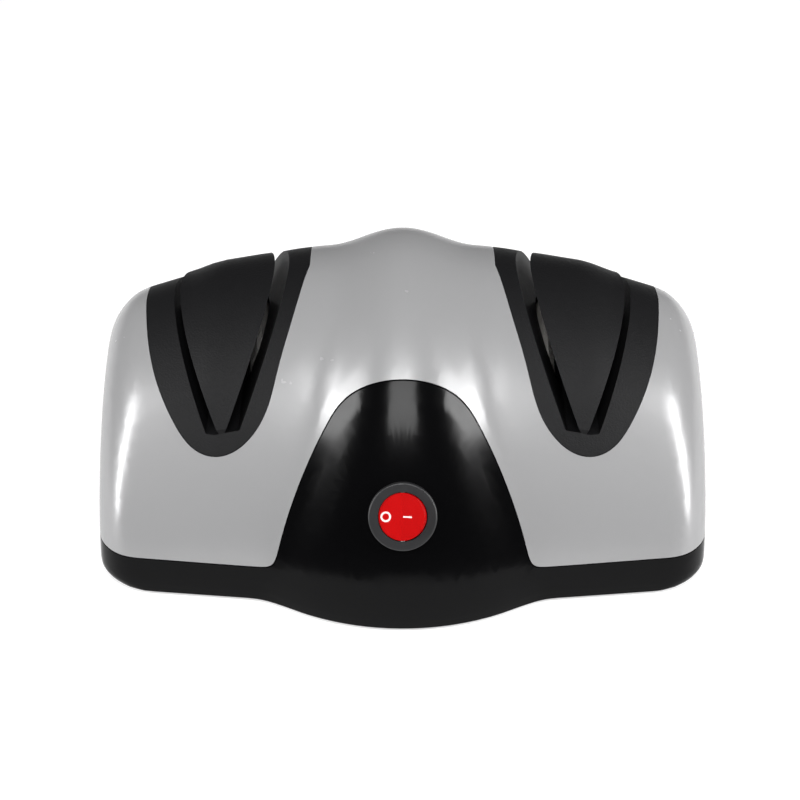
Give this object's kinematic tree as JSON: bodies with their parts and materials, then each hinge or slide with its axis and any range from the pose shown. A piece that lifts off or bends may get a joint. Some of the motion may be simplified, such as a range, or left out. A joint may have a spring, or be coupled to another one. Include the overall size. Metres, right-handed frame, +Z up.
{
  "type": "electric knife sharpener",
  "caption": "Electric knife sharpener with a silver winged cover, black dome with round rocker switch, and slotted guides over grinding discs.",
  "frame": {"origin": "on the surface under the feet, below the middle of the bounding box", "axes": "+X to the user's right along the wings, +Y to the rear, +Z up"},
  "size_m": [0.212, 0.134, 0.0965],
  "materials": {
    "silver_paint": "metallic silver paint on moulded plastic, satin gloss",
    "black_gloss": "piano black moulded plastic",
    "black_grain": "black moulded plastic with a fine spark-eroded grain",
    "switch_black": "black nylon, fine satin",
    "switch_red": "translucent red moulded plastic",
    "steel": "bright steel",
    "zinc_steel": "zinc plated steel",
    "copper": "copper and brass",
    "magnet": "dull ferrite",
    "carbon": "carbon brush",
    "coarse_abrasive": "coarse bonded abrasive, grey",
    "fine_abrasive": "fine bonded abrasive, pale grey",
    "nylon": "natural nylon",
    "board": "green laminate",
    "component": "moulded component",
    "rubber": "black rubber"
  },
  "bodies": {
    "housing": {"top_cover": "silver_paint", "base_housing": "black_gloss", "guide_insert_left": "black_grain", "guide_insert_right": "black_grain", "switch_housing": "switch_black", "rocker_pin": "steel", "switch_terminals": "copper", "motor_can": "zinc_steel", "motor_bell_left": "zinc_steel", "motor_bell_right": "zinc_steel", "bearing_bush_left": "copper", "bearing_bush_right": "copper", "stator_magnets": "magnet", "brush_boxes": "copper", "carbon_brushes": "carbon", "motor_straps": "zinc_steel", "strap_screws": "steel", "circuit_board": "board", "board_components": "component", "board_screws": "steel", "cord_gland": "rubber", "rubber_feet": "rubber", "cover_screws": "steel"},
    "rocker": {"switch_rocker": "switch_red"},
    "rotor": {"drive_shaft": "steel", "rotor_core": "steel", "commutator": "copper", "cooling_fan": "nylon", "spacer_sleeves": "nylon", "end_clips": "steel", "coarse_disc_spring": "steel", "fine_disc_spring": "steel"},
    "coarse_outer": {"coarse_disc_outer": "coarse_abrasive", "coarse_hub_outer": "nylon"},
    "coarse_inner": {"coarse_disc_inner": "coarse_abrasive", "coarse_hub_inner": "nylon"},
    "fine_inner": {"fine_disc_inner": "fine_abrasive", "fine_hub_inner": "nylon"},
    "fine_outer": {"fine_disc_outer": "fine_abrasive", "fine_hub_outer": "nylon"}
  },
  "joints": [
    {"name": "rocker_tip", "type": "hinge", "parent": "housing", "child": "rocker", "pos_m": [0, -0.05318, 0.03902], "axis": [0, 0.5236, 0.852], "range_deg": [0, 20]},
    {"name": "rotor_spin", "type": "hinge", "parent": "housing", "child": "rotor", "pos_m": [0, 0.0255, 0.0435], "axis": [1, 0, 0], "continuous": true},
    {"name": "coarse_outer_slide", "type": "slide", "parent": "rotor", "child": "coarse_outer", "axis": [1, 0, 0], "range_m": [0, 0.0012], "stiffness_N_per_m": 900, "springref_m": -0.003, "deforming": ["coarse_disc_spring"]},
    {"name": "coarse_inner_slide", "type": "slide", "parent": "rotor", "child": "coarse_inner", "axis": [-1, 0, 0], "range_m": [0, 0.0012], "stiffness_N_per_m": 900, "springref_m": -0.003, "deforming": ["coarse_disc_spring"]},
    {"name": "fine_inner_slide", "type": "slide", "parent": "rotor", "child": "fine_inner", "axis": [1, 0, 0], "range_m": [0, 0.0012], "stiffness_N_per_m": 900, "springref_m": -0.003, "deforming": ["fine_disc_spring"]},
    {"name": "fine_outer_slide", "type": "slide", "parent": "rotor", "child": "fine_outer", "axis": [-1, 0, 0], "range_m": [0, 0.0012], "stiffness_N_per_m": 900, "springref_m": -0.003, "deforming": ["fine_disc_spring"]}
  ]
}
